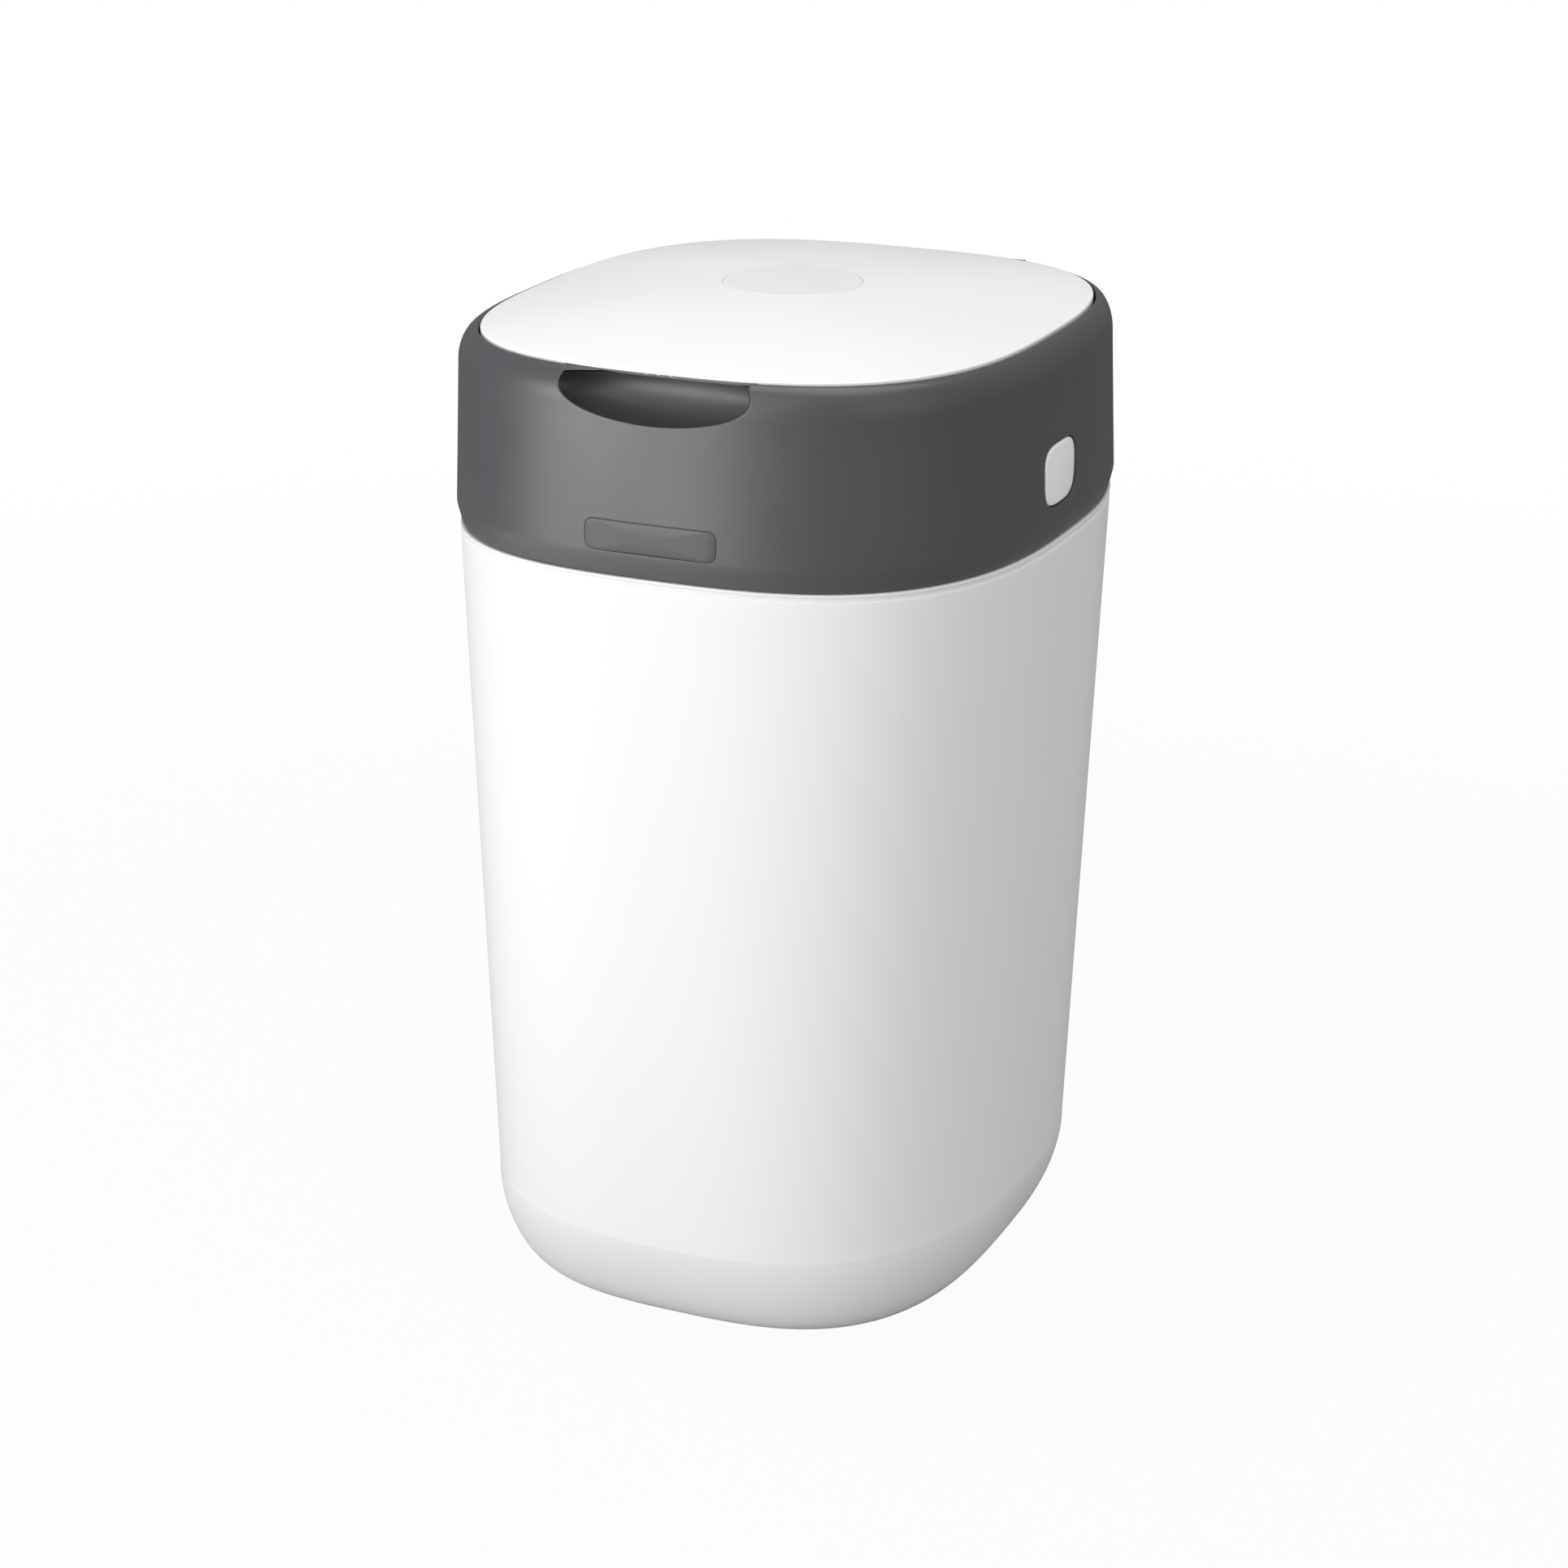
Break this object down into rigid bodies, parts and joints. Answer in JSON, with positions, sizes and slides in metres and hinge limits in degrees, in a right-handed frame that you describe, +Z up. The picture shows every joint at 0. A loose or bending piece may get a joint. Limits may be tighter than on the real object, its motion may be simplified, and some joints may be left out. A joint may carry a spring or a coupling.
{
  "type": "nappy bin",
  "caption": "Tall rounded nappy bin: a white tub, a dark tilting upper unit with a release button and a twisting film cassette, and a flush hinged white lid with a finger scoop.",
  "frame": {"origin": "on the floor, under the middle of the tub's base plan", "axes": "+Z up, -Y is the front with the finger scoop, +X is the side with the release button"},
  "size_m": [0.2612, 0.2916, 0.4358],
  "materials": {
    "white_shell": "smooth satin-gloss moulded polypropylene",
    "white_lid": "smooth gloss moulded plastic",
    "slate_shell": "fine-textured matte moulded plastic",
    "inner_grey": "fine-textured matte moulded plastic",
    "light_grey": "satin moulded plastic",
    "white_inner": "satin moulded plastic",
    "clear_cassette": "smooth natural polypropylene",
    "film": "thin glossy film folded in pleats",
    "grey_rubber": "matte soft rubber",
    "steel": "drawn and zinc-plated steel"
  },
  "bodies": {
    "tub": {"tub_shell": "white_shell", "base_ring": "grey_rubber", "unit_hinge_pin": "steel"},
    "upper_unit": {"collar_shell": "slate_shell", "badge_plate": "slate_shell", "inner_deck": "inner_grey", "drum_housing": "inner_grey", "lower_cover": "inner_grey", "retaining_fingers": "light_grey", "clamp_ring": "inner_grey", "clamp_screws": "steel", "deck_screws": "steel", "cover_screws": "steel", "lid_hinge_pin": "steel", "button_guide": "inner_grey", "button_spring": "steel", "pawl_pin": "steel"},
    "lid": {"lid_shell": "white_lid", "lid_liner": "white_inner", "lid_seal": "grey_rubber", "lid_disc": "light_grey", "liner_screws": "steel"},
    "twist_drum": {"cassette_tray": "inner_grey", "film_cassette": "clear_cassette", "film_pack": "film", "cassette_cap": "clear_cassette", "twist_ring": "white_inner"},
    "release_button": {"button_cap": "light_grey", "latch_hook": "inner_grey", "hook_screws": "steel"},
    "pawl": {"click_pawl": "light_grey"},
    "film_cutter": {"cutter_ring": "white_inner", "cutter_blade": "steel", "blade_screws": "steel"}
  },
  "joints": [
    {"name": "unit_tilt", "type": "hinge", "parent": "tub", "child": "upper_unit", "pos_m": [0, 0.152, 0.341], "axis": [-1, 0, 0], "range_deg": [0, 92]},
    {"name": "lid_open", "type": "hinge", "parent": "upper_unit", "child": "lid", "pos_m": [0, 0.15, 0.4185], "axis": [-1, 0, 0], "range_deg": [0, 100]},
    {"name": "twist", "type": "hinge", "parent": "upper_unit", "child": "twist_drum", "pos_m": [0, 0.0059, 0.352], "axis": [0, 0, 1], "continuous": true},
    {"name": "button_press", "type": "slide", "parent": "upper_unit", "child": "release_button", "axis": [-1, 0, 0], "range_m": [0, 0.004], "stiffness_N_per_m": 900, "springref_m": -0.004, "deforming": ["button_spring"]},
    {"name": "pawl_click", "type": "hinge", "parent": "upper_unit", "child": "pawl", "pos_m": [-0.1085, 0.029, 0.357], "axis": [0, 0, -1], "range_deg": [0, 5], "stiffness_Nm_per_rad": 0.05, "springref_deg": -11.46},
    {"name": "cutter_turn", "type": "hinge", "parent": "upper_unit", "child": "film_cutter", "pos_m": [0, 0.0059, 0.343], "axis": [0, 0, 1], "continuous": true}
  ]
}
